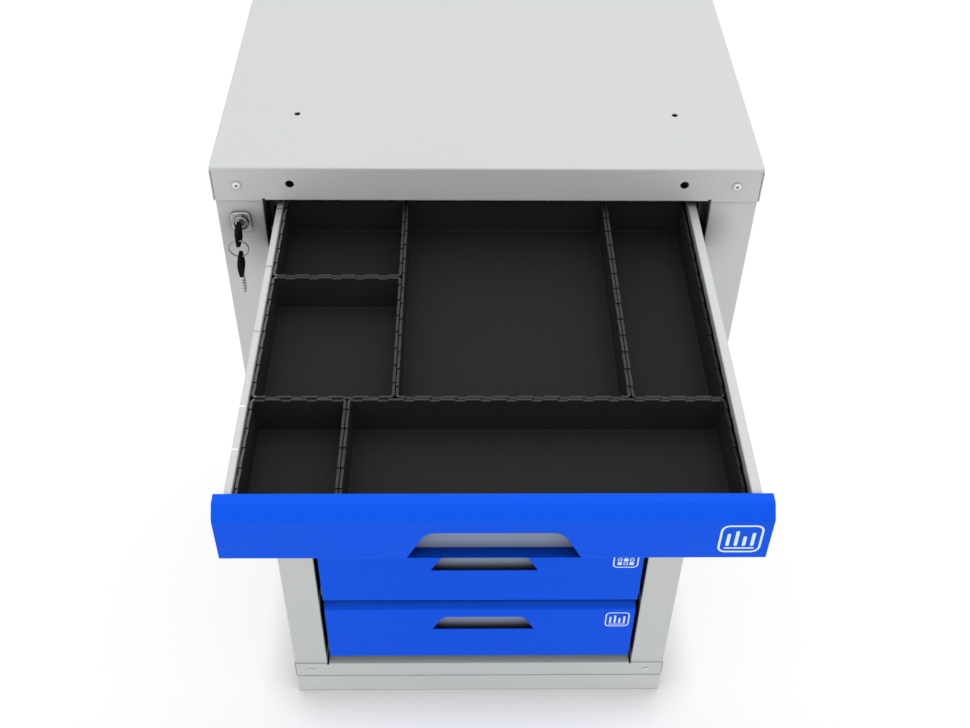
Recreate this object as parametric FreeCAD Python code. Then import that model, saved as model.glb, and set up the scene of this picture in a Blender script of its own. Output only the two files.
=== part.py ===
import FreeCAD, Part
import math
import os

os.makedirs("parts", exist_ok=True)
V = FreeCAD.Vector

# Cabinet body, millimetres. X is across, Y runs from the front plane into the cabinet, Z is up from the floor
WIDTH = 500.0
DEPTH = 450.0
HEIGHT = 871.0
COVER_FLANGE = 35.0
PLINTH_H = 38.0
TRAY_FLANGE = 29.0
SHEET = 1.2
PLINTH_SHEET = 1.5
PLINTH_LIP = 20.0
BEND = 1.6
HEM_DEPTH = 16.0
SILL_DEPTH = 21.0
HEM_CLEAR = 2.3
SEAT = 0.1

# Front posts, folded on the side panels
POST_FACE = 44.7
POST_RETURN = 24.0
REAR_FOLD = 20.0
BACK_SHEET = 1.0
BACK_CLEAR = 3.0

# Holes and rivets
HOLE_SPACING = 358.0
TOP_HOLE_INSET = 89.0
TOP_HOLE_R = 3.0
FRONT_HOLE_UP = 17.2
FRONT_HOLE_R = 4.0
RIVET_INSET = 23.0
COVER_RIVET_UP = 16.0
TRAY_RIVET_UP = 14.0
RIVET_R = 2.0
RIVET_CLEAR = 0.05
RIVET_HEAD_R = 4.1
RIVET_HEAD_H = 1.5
RIVET_BORE_R = 0.9
RIVET_BULB_R = 3.0
RIVET_BULB_L = 3.0

# Drawers, from the top one down: each front covers one or two modules of the height between sill and cover
MODULES_FROM_TOP = [1, 1, 2, 2, 2, 2, 2]
SILL_GAP = 16.8
COVER_GAP = 4.0
FRONT_GAP = 11.4
FRONT_SIDE_GAP = 5.3
FRONT_SHEET = 1.0
FRONT_SETBACK = 1.0
CHAMFER = 8.9
TOP_FLANGE = 17.6
FRONT_DEPTH = 10.0
FRONT_BEND = 2.0
FACE_BEND = 3.0
END_INSET = 0.7
FIX_FLANGE = 16.0
TOP_DRAWER_OPEN = 363.7

# Finger cut-outs: half width at the bottom, centre in X, height above the front's lower edge
CUT_H = 27.5
CUT_SLOPE = 0.51
CUT_RADIUS = 9.0
CUT_SMALL = (63.2, 0.5, 1.0)
CUT_LARGE = (66.4, 4.1, 63.3)

# Drawer boxes
BOX_SHEET = 1.0
BOX_BEND = 1.3
BOX_HEM = 6.6
BOX_HEM_DROP = 13.0
BOX_FLOOR = 3.5
BOX_BELOW_FRONT_TOP = 2.9
BOX_LENGTH = 374.0

# Telescopic slides, measured outwards from the drawer box wall
RAIL_REACH = 9.7
RAIL_SHORTER = 1.0
RAIL_DROP = 1.5
RAIL_H = 18.0
RAIL_SHEET = 1.2
RAIL_GAP = 0.3
CABINET_LIP_START = 3.2
MID_LIP_START = 2.0
MID_SHEET = 1.0
UPRIGHT_CLEAR = 2.4
UPRIGHT_SHEET = 1.5
UPRIGHT_WIDTH = 30.0
UPRIGHT_BEHIND_BAR = 7.0
UPRIGHT_REAR_INSET = 34.5

# Divider bins on a ten by ten grid in the top drawer: column, row, columns, rows
BIN_CELLS = 10
BIN_FIRST_GAP = 0.2
BIN_SPARE_X = 3.2
BIN_SPARE_Y = 2.0
BIN_FRONT_GAP = 0.4
BIN_GAP = 0.4
BIN_H = 37.4
BIN_WALL = 2.1
BIN_FLOOR = 2.0
BIN_FOOT = 2.2
BIN_CORNER = 4.0
BINS = {
    "bin_front_left": (0, 0, 2, 3),
    "bin_front_right": (2, 0, 8, 3),
    "bin_middle_left": (0, 3, 3, 4),
    "bin_rear_left": (0, 7, 3, 3),
    "bin_rear_centre": (3, 3, 5, 7),
    "bin_rear_right": (8, 3, 2, 7),
}

# Lock on the left post
LOCK_INSET = 22.5
LOCK_BELOW_COVER = 24.5
PLATE_W = 18.5
PLATE_H = 21.5
PLATE_T = 3.0
PLATE_CORNER = 4.5
COLLAR_R = 8.0
COLLAR_PROUD = 3.2
PLUG_R = 6.05
PLUG_CLEAR = 0.05
PLUG_INSET = 0.8
BARREL_BACK = 18.0
BARREL_CLEAR = 0.3
NUT_FLATS = 22.0
NUT_T = 3.0
NUT_CLEAR = 0.05
STEM_R = 3.0
STEM_CLEAR = 0.02
CAM_R = 8.0
CAM_T = 2.0
CAM_GAP = 1.0
PIN_ARM = 5.66
PIN_R = 1.5
PIN_CLEAR = 0.4

# Locking bar behind the left post, one tab for each drawer
BAR_BEHIND_POST = 3.0
BAR_CLEAR = 2.7
BAR_W = 21.0
BAR_T = 2.0
BAR_ABOVE_LOCK = 14.5
BAR_BELOW_TAB = 15.3
TAB_L = 20.0
TAB_CLEAR = 2.8
TAB_UP = 31.5
TAB_H = 7.0
CATCH_BEHIND_TAB = 1.0
CATCH_CLEAR = 1.2
CATCH_BELOW_TAB = 1.5
CATCH_H = 6.0
CATCH_L = 3.0
GUIDE_UNDER_DRAWER = [False, True, False, False, False, True, False]
GUIDE_BELOW = 40.4
GUIDE_H = 12.0
GUIDE_WALL = 1.5
GUIDE_CLEAR = 0.3
GUIDE_LEG = 8.0

# Keys and their ring
KEY_HEAD_R = 11.5
KEY_HEAD_PROUD = 14.9
KEY_HEAD_MID = 3.25
KEY_HEAD_EDGE = 1.8
KEY_HEAD_FLAT_R = 5.0
KEY_HOLE_R = 2.5
KEY_HOLE_OFF = 8.0
BLADE_T = 2.0
BLADE_H = 7.6
BLADE_L = 21.0
BLADE_IN_HEAD = 9.5
BLADE_TIP = 2.5
KEYWAY_CLEAR = 0.1
RING_R = 9.0
RING_WIRE = 0.7
RING_SAG = 1.2

# Places worked out from the sizes
HALF = WIDTH / 2
INNER = HALF - SHEET
TRAY_TOP = PLINTH_H + TRAY_FLANGE
TRAY_FLOOR = PLINTH_H + SHEET
DRAWER_BASE = TRAY_TOP + SILL_GAP
COVER_BOTTOM = HEIGHT - COVER_FLANGE
MODULE = (COVER_BOTTOM - COVER_GAP + FRONT_GAP - DRAWER_BASE) / sum(MODULES_FROM_TOP)
OPENING_HALF = HALF - POST_FACE
HEM_END = OPENING_HALF - HEM_CLEAR
POST_BACK = 2 * SHEET
REAR_FACE = DEPTH - SHEET
PANEL_TOP = HEIGHT - SHEET - SEAT
FRONT_HALF = OPENING_HALF - FRONT_SIDE_GAP
RAIL_BACK = OPENING_HALF - UPRIGHT_CLEAR
BOX_HALF = RAIL_BACK - RAIL_REACH
RAIL_LENGTH = BOX_LENGTH - RAIL_SHORTER
RAIL_Y = FRONT_SETBACK + FRONT_DEPTH + RAIL_SHORTER / 2
BAR_Y = POST_RETURN + BAR_BEHIND_POST
UPRIGHT_FRONT_Y = BAR_Y + BAR_T + UPRIGHT_BEHIND_BAR
UPRIGHT_REAR_Y = RAIL_Y + RAIL_LENGTH - UPRIGHT_REAR_INSET
RIVET_X = HALF - RIVET_INSET
LOCK_X = LOCK_INSET - HALF
LOCK_Z = COVER_BOTTOM - LOCK_BELOW_COVER


def box(x0, x1, y0, y1, z0, z1):
    return Part.makeBox(x1 - x0, y1 - y0, z1 - z0, V(x0, y0, z0))


def cyl_y(x, z, r, y0, y1):
    return Part.makeCylinder(r, y1 - y0, V(x, y0, z), V(0, 1, 0))


def cyl_z(x, y, r, z0, z1):
    return Part.makeCylinder(r, z1 - z0, V(x, y, z0), V(0, 0, 1))


def prism(points, direction):
    wire = Part.makePolygon([V(*p) for p in points + points[:1]])
    return Part.Face(wire).extrude(V(*direction))


def joined(shapes):
    return shapes[0].multiFuse(shapes[1:]).removeSplitter()


def mirrored(shape):
    return shape.mirror(V(0, 0, 0), V(1, 0, 0))


def edges_at(shape, **place):
    # Straight edges whose two ends both lie at the given x, y or z values
    def fits(edge):
        ends = [v.Point for v in edge.Vertexes]
        return all(abs(getattr(p, axis) - value) < 1e-6 for p in ends for axis, value in place.items())

    return [e for e in shape.Edges if len(e.Vertexes) == 2 and fits(e)]


def upright_edges(shape):
    return [e for e in shape.Edges if abs(e.Vertexes[0].Z - e.Vertexes[-1].Z) > 1e-6]


def rounded_box(x0, x1, y0, y1, z0, z1, radius):
    body = box(x0, x1, y0, y1, z0, z1)
    return body.makeFillet(radius, upright_edges(body))


def export(name, shapes):
    # The row's origin is the middle of the footprint on the floor
    group = [s.copy() for s in shapes]
    shape = group[0] if len(group) == 1 else Part.makeCompound(group)
    shape.translate(V(0, -DEPTH / 2, 0))
    shape.exportStep("parts/" + name + ".step")


def drill_rivets(shape, z):
    for x in (-RIVET_X, RIVET_X):
        shape = shape.cut(cyl_y(x, z, RIVET_R + RIVET_CLEAR, -1.0, DEPTH + 1.0))
    return shape


def round_fold(shape, z, up):
    # Rounds the outer edge of the fold between the front flange and its return, at height z
    z0, z1 = (z - BEND, z + 1.0) if up else (z - 1.0, z + BEND)
    corner = box(-HEM_END, HEM_END, -1.0, BEND, z0, z1)
    centre_z = z - BEND if up else z + BEND
    rod = Part.makeCylinder(BEND, 2 * HEM_END, V(-HEM_END, BEND, centre_z), V(1, 0, 0))
    return shape.cut(corner.cut(rod))


# Top cover: a cap of folded sheet with four flanges and a hem between the posts
cover = box(-HALF, HALF, 0, DEPTH, COVER_BOTTOM, HEIGHT)
cover = cover.makeFillet(BEND, edges_at(cover, z=HEIGHT))
cover = cover.cut(box(-INNER, INNER, SHEET, REAR_FACE, COVER_BOTTOM - 1, HEIGHT - SHEET))
cover = joined([cover, box(-HEM_END, HEM_END, SHEET, HEM_DEPTH, COVER_BOTTOM, COVER_BOTTOM + SHEET)])
cover = round_fold(cover, COVER_BOTTOM, False)
for x in (-HOLE_SPACING / 2, HOLE_SPACING / 2):
    for y in (TOP_HOLE_INSET, DEPTH - TOP_HOLE_INSET):
        cover = cover.cut(cyl_z(x, y, TOP_HOLE_R, HEIGHT - SHEET - 1, HEIGHT + 1))
    cover = cover.cut(cyl_y(x, COVER_BOTTOM + FRONT_HOLE_UP, FRONT_HOLE_R, -1.0, SHEET + 1))
cover = drill_rivets(cover, COVER_BOTTOM + COVER_RIVET_UP)
export("top_cover", [cover])

# Base tray: a pan that holds the feet of the side panels, with a sill between the posts
tray = box(-HALF, HALF, 0, DEPTH, PLINTH_H, TRAY_TOP)
tray = tray.cut(box(-INNER, INNER, SHEET, REAR_FACE, TRAY_FLOOR, TRAY_TOP + 1))
tray = joined([tray, box(-HEM_END, HEM_END, SHEET, SILL_DEPTH, TRAY_TOP - SHEET, TRAY_TOP)])
tray = round_fold(tray, TRAY_TOP, True)
tray = drill_rivets(tray, PLINTH_H + TRAY_RIVET_UP)
export("base_tray", [tray])

# Plinth: four walls with bottom and top returns, standing on the floor
plinth = box(-HALF, HALF, 0, DEPTH, 0, PLINTH_H)
plinth = plinth.makeFillet(BEND, edges_at(plinth, z=0))
plinth = plinth.cut(box(
    PLINTH_SHEET - HALF, HALF - PLINTH_SHEET, PLINTH_SHEET, DEPTH - PLINTH_SHEET,
    PLINTH_SHEET, PLINTH_H - PLINTH_SHEET,
))
plinth = plinth.cut(box(PLINTH_LIP - HALF, HALF - PLINTH_LIP, PLINTH_LIP, DEPTH - PLINTH_LIP, -1, PLINTH_H + 1))
export("plinth", [plinth])

# Side panels: side sheet, front post, post return and rear fold from one sheet
panel_plan = [
    (-INNER, SHEET), (-OPENING_HALF, SHEET), (-OPENING_HALF, POST_RETURN),
    (-OPENING_HALF - SHEET, POST_RETURN), (-OPENING_HALF - SHEET, POST_BACK),
    (SHEET - INNER, POST_BACK), (SHEET - INNER, REAR_FACE - SHEET),
    (REAR_FOLD - INNER, REAR_FACE - SHEET), (REAR_FOLD - INNER, REAR_FACE), (-INNER, REAR_FACE),
]
panel = prism([(x, y, TRAY_FLOOR) for x, y in panel_plan], (0, 0, PANEL_TOP - TRAY_FLOOR))
folds = edges_at(panel, x=-INNER, y=SHEET) + edges_at(panel, x=-OPENING_HALF, y=SHEET)
panel = panel.makeFillet(BEND, folds + edges_at(panel, x=-INNER, y=REAR_FACE))
for z in (COVER_BOTTOM + COVER_RIVET_UP, PLINTH_H + TRAY_RIVET_UP):
    panel = drill_rivets(panel, z)
export("side_panel_right", [mirrored(panel)])
panel = panel.cut(cyl_y(LOCK_X, LOCK_Z, COLLAR_R + BARREL_CLEAR, 0, POST_BACK + 1))
export("side_panel_left", [panel])

# Back panel, riveted to the rear folds
back_y = REAR_FACE - SHEET
back = box(BACK_CLEAR - INNER, INNER - BACK_CLEAR, back_y - BACK_SHEET, back_y, TRAY_FLOOR, PANEL_TOP)
for z in (COVER_BOTTOM + COVER_RIVET_UP, PLINTH_H + TRAY_RIVET_UP):
    back = drill_rivets(back, z)
export("back_panel", [back])


# Blind rivets: domed head, shank and set bulb, gripping two sheets in front and three behind
def rivet(grip):
    dome_r = (RIVET_HEAD_R ** 2 + RIVET_HEAD_H ** 2) / (2 * RIVET_HEAD_H)
    dome = Part.makeSphere(dome_r, V(0, dome_r - RIVET_HEAD_H, 0))
    head = dome.common(cyl_y(0, 0, RIVET_HEAD_R, -RIVET_HEAD_H, 0))
    shank = cyl_y(0, 0, RIVET_R, -RIVET_HEAD_H / 2, grip)
    bulb = cyl_y(0, 0, RIVET_BULB_R, grip, grip + RIVET_BULB_L)
    return joined([head, shank, bulb]).cut(cyl_y(0, 0, RIVET_BORE_R, -RIVET_HEAD_H, grip))


def rivet_set(z):
    rivets = []
    for x in (-RIVET_X, RIVET_X):
        front = rivet(2 * SHEET)
        front.translate(V(x, 0, z))
        rear = rivet(2 * SHEET + BACK_SHEET)
        rear.rotate(V(0, 0, 0), V(0, 0, 1), 180)
        rear.translate(V(x, DEPTH, z))
        rivets += [front, rear]
    return rivets


export("cover_rivets", rivet_set(COVER_BOTTOM + COVER_RIVET_UP))
export("tray_rivets", rivet_set(PLINTH_H + TRAY_RIVET_UP))


# Rail uprights: channels from the side sheet to the backs of the cabinet rails
def upright(y):
    outer = box(SHEET - INNER, -RAIL_BACK, y, y + UPRIGHT_WIDTH, TRAY_FLOOR, PANEL_TOP)
    hollow = box(
        -INNER, -RAIL_BACK - UPRIGHT_SHEET, y + UPRIGHT_SHEET, y + UPRIGHT_WIDTH - UPRIGHT_SHEET,
        TRAY_FLOOR - 1, PANEL_TOP + 1,
    )
    return outer.cut(hollow)


uprights = [upright(UPRIGHT_FRONT_Y), upright(UPRIGHT_REAR_Y)]
export("rail_uprights_left", uprights)
export("rail_uprights_right", [mirrored(u) for u in uprights])


# Telescopic rails: three nested channels on the left wall. The web is the channel's closed side
def channel(web, lips, web_sheet, inset, z, y):
    z0, z1 = z + inset, z + RAIL_H - inset
    near, far = min(web, lips), max(web, lips)
    outside = box(-BOX_HALF - far, -BOX_HALF - near, y, y + RAIL_LENGTH, z0, z1)
    if web > lips:
        near, far = lips - 1, web - web_sheet
    else:
        near, far = web + web_sheet, lips + 1
    hollow = box(
        -BOX_HALF - far, -BOX_HALF - near, y - 1, y + RAIL_LENGTH + 1, z0 + RAIL_SHEET, z1 - RAIL_SHEET,
    )
    return outside.cut(hollow)


nest = RAIL_SHEET + RAIL_GAP
mid_reach = RAIL_REACH - nest
drawer_reach = mid_reach - MID_SHEET - RAIL_GAP


# Drawer fronts: folded sheet with a 45 degree top edge, returns and a finger cut-out
def drawer_front(z, height, cut):
    top = z + height
    shoulder = top - CHAMFER
    t = FRONT_SHEET
    k = t * (math.sqrt(2) - 1)
    section = [
        (0, z), (0, shoulder), (CHAMFER, top), (TOP_FLANGE, top), (TOP_FLANGE, top - t),
        (CHAMFER + k, top - t), (t, shoulder - k), (t, z + t), (FRONT_DEPTH, z + t), (FRONT_DEPTH, z),
    ]
    skin = prism([(-FRONT_HALF, y, h) for y, h in section], (2 * FRONT_HALF, 0, 0))
    outer = edges_at(skin, y=0, z=shoulder) + edges_at(skin, y=CHAMFER, z=top)
    inner = edges_at(skin, y=t, z=shoulder - k) + edges_at(skin, y=CHAMFER + k, z=top - t)
    skin = skin.makeFillet(FACE_BEND, outer).makeFillet(FACE_BEND - t, inner)
    skin = skin.makeFillet(FRONT_BEND, edges_at(skin, y=0, z=z))
    skin = skin.makeFillet(FRONT_BEND - t, edges_at(skin, y=t, z=z + t))
    e = END_INSET
    end_plan = [
        (e, z + e), (e, shoulder - e), (CHAMFER, top - e - k), (FRONT_DEPTH, top - e - k), (FRONT_DEPTH, z + e),
    ]
    end = prism([(-FRONT_HALF, y, h) for y, h in end_plan], (t, 0, 0))
    fixing = box(-FRONT_HALF, FIX_FLANGE - FRONT_HALF, FRONT_DEPTH - t, FRONT_DEPTH, z + e, shoulder)
    body = joined([skin, end, mirrored(end), fixing, mirrored(fixing)])
    half, centre, low = cut
    base = z + low
    narrow = half - CUT_SLOPE * CUT_H
    outline = [(-half, base), (half, base), (narrow, base + CUT_H), (-narrow, base + CUT_H)]
    tool = prism([(centre + x, -1.0, h) for x, h in outline], (0, 1.0 + t, 0))
    upper = edges_at(tool, x=centre - narrow, z=base + CUT_H) + edges_at(tool, x=centre + narrow, z=base + CUT_H)
    return body.cut(tool.makeFillet(CUT_RADIUS, upper))


# Drawer boxes: a pan with hemmed walls, and a catch on the left wall for the locking bar
def drawer_box(z, height):
    floor = z + BOX_FLOOR
    top = z + height - BOX_BELOW_FRONT_TOP
    y0 = FRONT_DEPTH
    y1 = y0 + BOX_LENGTH
    t = BOX_SHEET
    hem = BOX_HEM - BOX_HALF
    wall_plan = [
        (-BOX_HALF, floor), (-BOX_HALF, top), (hem, top), (hem, top - BOX_HEM_DROP), (hem - t, top - BOX_HEM_DROP),
        (hem - t, top - t), (t - BOX_HALF, top - t), (t - BOX_HALF, floor),
    ]
    wall = prism([(x, y0, h) for x, h in wall_plan], (0, BOX_LENGTH, 0))
    wall = wall.makeFillet(BOX_BEND, edges_at(wall, x=-BOX_HALF, z=top) + edges_at(wall, x=hem, z=top))
    base = box(-BOX_HALF, BOX_HALF, y0, y1, floor, floor + t)
    front = box(t - BOX_HALF, BOX_HALF - t, y0, y0 + t, floor, top - BOX_BEND)
    rear = box(t - BOX_HALF, BOX_HALF - t, y1 - t, y1, floor, top - BOX_BEND)
    catch_y = BAR_Y + CATCH_BEHIND_TAB - FRONT_SETBACK
    catch_top = z + TAB_UP - CATCH_BELOW_TAB
    catch = box(
        CATCH_CLEAR - RAIL_BACK, -BOX_HALF, catch_y, catch_y + CATCH_L, catch_top - CATCH_H, catch_top,
    )
    return [joined([wall, mirrored(wall), base, front, rear]), catch]


levels = []
level = COVER_BOTTOM - COVER_GAP + FRONT_GAP
for modules in MODULES_FROM_TOP:
    level -= MODULE * modules
    levels.append(level)

cabinet_rails = []
for index, modules in enumerate(MODULES_FROM_TOP):
    z = levels[index]
    out = TOP_DRAWER_OPEN if index == 0 else 0.0
    height = modules * MODULE - FRONT_GAP
    place = V(0, FRONT_SETBACK - out, 0)
    name = "drawer_%d_" % (index + 1)
    front = drawer_front(z, height, CUT_SMALL if modules == 1 else CUT_LARGE)
    case = drawer_box(z, height)
    for piece in [front] + case:
        piece.translate(place)
    export(name + "front", [front])
    export(name + "box", case)
    rail_z = z - RAIL_DROP
    inner_rail = channel(0, drawer_reach, RAIL_SHEET, 2 * nest, rail_z, RAIL_Y - out)
    export(name + "rails", [inner_rail, mirrored(inner_rail)])
    mid_rail = channel(mid_reach, MID_LIP_START, MID_SHEET, nest, rail_z, RAIL_Y - out / 2)
    export(name + "mid_rails", [mid_rail, mirrored(mid_rail)])
    cabinet_rails.append(channel(RAIL_REACH, CABINET_LIP_START, RAIL_SHEET, 0, rail_z, RAIL_Y))
export("cabinet_rails_left", cabinet_rails)
export("cabinet_rails_right", [mirrored(r) for r in cabinet_rails])

# Divider bins: thin-walled trays with a foot rim, standing on the top drawer's floor
bin_dx = (2 * (BOX_HALF - BOX_HEM) - BIN_SPARE_X) / BIN_CELLS
bin_dy = (BOX_LENGTH - 2 * BOX_SHEET - BIN_SPARE_Y) / BIN_CELLS
bin_x = BOX_HEM - BOX_HALF + BIN_FIRST_GAP
bin_y = FRONT_SETBACK - TOP_DRAWER_OPEN + FRONT_DEPTH + BOX_SHEET + BIN_FRONT_GAP
bin_z = levels[0] + BOX_FLOOR + BOX_SHEET


def bin_body(col, row, cols, rows):
    x0 = bin_x + col * bin_dx + BIN_GAP
    x1 = bin_x + (col + cols) * bin_dx - BIN_GAP
    y0 = bin_y + row * bin_dy + BIN_GAP
    y1 = bin_y + (row + rows) * bin_dy - BIN_GAP
    w = BIN_WALL
    inside_r = BIN_CORNER - w / 2
    floor_top = bin_z + BIN_FOOT + BIN_FLOOR
    body = rounded_box(x0, x1, y0, y1, bin_z, bin_z + BIN_H, BIN_CORNER)
    inside = rounded_box(x0 + w, x1 - w, y0 + w, y1 - w, floor_top, bin_z + BIN_H + 1, inside_r)
    foot = rounded_box(x0 + w, x1 - w, y0 + w, y1 - w, bin_z - 1, bin_z + BIN_FOOT, inside_r)
    return body.cut(inside).cut(foot)


for name, cells in BINS.items():
    export(name, [bin_body(*cells)])

# Lock housing: rounded plate and collar on the post, with a barrel through it
plate_y = SHEET - PLATE_T
plate = box(-PLATE_W / 2, PLATE_W / 2, plate_y, SHEET, -PLATE_H / 2, PLATE_H / 2)
corners = [e for e in plate.Edges if abs(e.Vertexes[0].Y - e.Vertexes[-1].Y) > 1e-6]
plate = plate.makeFillet(PLATE_CORNER, corners)
plate.translate(V(LOCK_X, 0, LOCK_Z))
collar_y = plate_y - COLLAR_PROUD
barrel = cyl_y(LOCK_X, LOCK_Z, COLLAR_R, collar_y, BARREL_BACK)
bore = cyl_y(LOCK_X, LOCK_Z, PLUG_R + PLUG_CLEAR, collar_y - 1, BARREL_BACK + 1)
export("lock_housing", [joined([plate, barrel]).cut(bore)])

# Lock nut: hexagon that clamps the housing to the post from behind
nut_r = NUT_FLATS / math.sqrt(3)
hexagon = []
for side in range(6):
    turn = math.radians(60 * side)
    hexagon.append((LOCK_X + nut_r * math.cos(turn), POST_BACK, LOCK_Z + nut_r * math.sin(turn)))
nut = prism(hexagon, (0, NUT_T, 0))
export("lock_nut", [nut.cut(cyl_y(LOCK_X, LOCK_Z, COLLAR_R + NUT_CLEAR, 0, POST_BACK + NUT_T + 1))])

# Lock plug with its keyway, a stem behind it, and the cam whose pin drives the locking bar
plug_y = collar_y + PLUG_INSET
cam_y = BARREL_BACK + CAM_GAP
key_y = collar_y - KEY_HEAD_PROUD
plug = joined([
    cyl_y(LOCK_X, LOCK_Z, PLUG_R, plug_y, cam_y),
    cyl_y(LOCK_X, LOCK_Z, STEM_R, cam_y, cam_y + CAM_T),
])
slot_half_x = BLADE_T / 2 + KEYWAY_CLEAR
slot_half_z = BLADE_H / 2 + KEYWAY_CLEAR
keyway = box(
    LOCK_X - slot_half_x, LOCK_X + slot_half_x, plug_y - 1, key_y + KEY_HEAD_R + BLADE_L + 1,
    LOCK_Z - slot_half_z, LOCK_Z + slot_half_z,
)
export("lock_plug", [plug.cut(keyway)])

pin_off = PIN_ARM / math.sqrt(2)
cam = joined([
    cyl_y(LOCK_X, LOCK_Z, CAM_R, cam_y, cam_y + CAM_T),
    cyl_y(LOCK_X + pin_off, LOCK_Z + pin_off, PIN_R, cam_y + CAM_T, BAR_Y + BAR_T + 1),
])
export("lock_cam", [cam.cut(cyl_y(LOCK_X, LOCK_Z, STEM_R + STEM_CLEAR, cam_y - 1, cam_y + CAM_T + 1))])

# Locking bar: a flat with a slot for the cam pin, and welded tabs that stand in front of the drawer catches
bar_right = -OPENING_HALF - BAR_CLEAR
bar_left = bar_right - BAR_W
bar_bottom = levels[-1] + TAB_UP - BAR_BELOW_TAB
bar = box(bar_left, bar_right, BAR_Y, BAR_Y + BAR_T, bar_bottom, LOCK_Z + BAR_ABOVE_LOCK)
pin_half = PIN_R + PIN_CLEAR
bar = bar.cut(box(
    LOCK_X + pin_off - pin_half, LOCK_X + PIN_ARM + pin_half, BAR_Y - 1, BAR_Y + BAR_T + 1,
    LOCK_Z + pin_off - pin_half, LOCK_Z + pin_off + pin_half,
))
tab_end = -BOX_HALF - TAB_CLEAR
tabs = [box(tab_end - TAB_L, tab_end, BAR_Y - BAR_T, BAR_Y, z + TAB_UP, z + TAB_UP + TAB_H) for z in levels]
export("lock_bar", [bar] + tabs)


# Bar guides: loops on the back of the post that the bar slides in
def guide(z):
    reach = GUIDE_CLEAR + GUIDE_WALL
    loop = box(bar_left - reach, bar_right + reach, BAR_Y - reach, BAR_Y + BAR_T + reach, z, z + GUIDE_H)
    leg = box(bar_left - reach, bar_left - reach + GUIDE_LEG, POST_BACK, BAR_Y - GUIDE_CLEAR, z, z + GUIDE_H)
    way = box(
        bar_left - GUIDE_CLEAR, bar_right + GUIDE_CLEAR, BAR_Y - GUIDE_CLEAR, BAR_Y + BAR_T + GUIDE_CLEAR,
        z - 1, z + GUIDE_H + 1,
    )
    return joined([loop, leg]).cut(way)


guided = [z for z, wanted in zip(levels, GUIDE_UNDER_DRAWER) if wanted]
export("lock_bar_guides", [guide(z - GUIDE_BELOW) for z in guided])


# Keys: a domed head with a hole, on a flat blade, drawn round the head's centre with the blade along +Y
def key_head():
    profile = [
        (0, 0), (KEY_HEAD_MID, 0), (KEY_HEAD_MID, KEY_HEAD_FLAT_R), (KEY_HEAD_EDGE, KEY_HEAD_R), (0, KEY_HEAD_R),
    ]
    face = Part.Face(Part.makePolygon([V(x, r, 0) for x, r in profile + profile[:1]]))
    half = face.revolve(V(0, 0, 0), V(1, 0, 0), 360)
    hole = Part.makeCylinder(KEY_HOLE_R, 4 * KEY_HEAD_MID, V(-2 * KEY_HEAD_MID, -KEY_HOLE_OFF, 0), V(1, 0, 0))
    slot = box(
        -BLADE_T / 2, BLADE_T / 2, KEY_HEAD_R - BLADE_IN_HEAD, KEY_HEAD_R + 1, -BLADE_H / 2, BLADE_H / 2,
    )
    return joined([half, mirrored(half)]).cut(hole).cut(slot)


def key_blade():
    start = KEY_HEAD_R - BLADE_IN_HEAD
    tip = KEY_HEAD_R + BLADE_L
    half = BLADE_H / 2
    plan = [
        (start, -half), (tip - BLADE_TIP, -half), (tip, BLADE_TIP - half), (tip, half - BLADE_TIP),
        (tip - BLADE_TIP, half), (start, half),
    ]
    return prism([(-BLADE_T / 2, y, h) for y, h in plan], (BLADE_T, 0, 0))


def placed(shape, turn, y, z):
    shape.rotate(V(0, 0, 0), V(1, 0, 0), turn)
    shape.translate(V(LOCK_X, y, z))
    return [shape]


export("key_head", placed(key_head(), 0, key_y, LOCK_Z))
export("key_blade", placed(key_blade(), 0, key_y, LOCK_Z))

# Ring through the key's hole, and the spare key hanging from the ring
ring_y = key_y - KEY_HOLE_OFF
ring_z = LOCK_Z - RING_SAG - RING_R
spare_z = ring_z - RING_R - RING_SAG - KEY_HOLE_OFF
export("key_ring", [Part.makeTorus(RING_R, RING_WIRE, V(LOCK_X, ring_y, ring_z), V(0, 1, 0))])
export("spare_key_head", placed(key_head(), -90, ring_y, spare_z))
export("spare_key_blade", placed(key_blade(), -90, ring_y, spare_z))
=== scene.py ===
import math

import bmesh
import bpy
from mathutils import Matrix, Vector


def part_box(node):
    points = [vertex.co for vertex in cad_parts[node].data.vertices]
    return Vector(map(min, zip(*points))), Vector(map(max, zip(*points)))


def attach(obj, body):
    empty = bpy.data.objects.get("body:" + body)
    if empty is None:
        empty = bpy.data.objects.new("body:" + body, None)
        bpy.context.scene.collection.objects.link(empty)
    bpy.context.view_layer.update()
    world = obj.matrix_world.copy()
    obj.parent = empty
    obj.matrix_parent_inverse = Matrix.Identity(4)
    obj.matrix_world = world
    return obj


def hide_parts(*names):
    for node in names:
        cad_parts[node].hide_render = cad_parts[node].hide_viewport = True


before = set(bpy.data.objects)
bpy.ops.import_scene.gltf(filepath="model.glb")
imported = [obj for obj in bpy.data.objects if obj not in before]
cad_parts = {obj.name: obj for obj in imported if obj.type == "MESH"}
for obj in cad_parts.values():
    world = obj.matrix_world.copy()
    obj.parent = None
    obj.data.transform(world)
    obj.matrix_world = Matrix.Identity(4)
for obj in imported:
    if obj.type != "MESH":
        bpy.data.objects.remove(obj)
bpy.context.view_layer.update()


# Top cover. A cap of 1.2 mm sheet steel with four folded flanges, grey powder coated. Its corners are open
# seams, the front flange turns in between the posts, and four holes in the top take a worktop.
WIDE, DEEP, HIGH = 500, 450, 871
SHEET, BEND = 1.2, 1.6
NEAR = 0.01


def at(x, y, z):
    # Millimetres from the middle, the front flange and the floor, as a place in Blender's metres
    return Vector((x, y - DEEP / 2, z)) / 1000


def block(bm, x0, x1, y0, y1, z0, z1):
    low, high = at(x0, y0, z0), at(x1, y1, z1)
    corners = bmesh.ops.create_cube(bm, size=1)["verts"]
    bmesh.ops.scale(bm, vec=high - low, verts=corners)
    bmesh.ops.translate(bm, vec=(low + high) / 2, verts=corners)
    return corners


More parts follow.
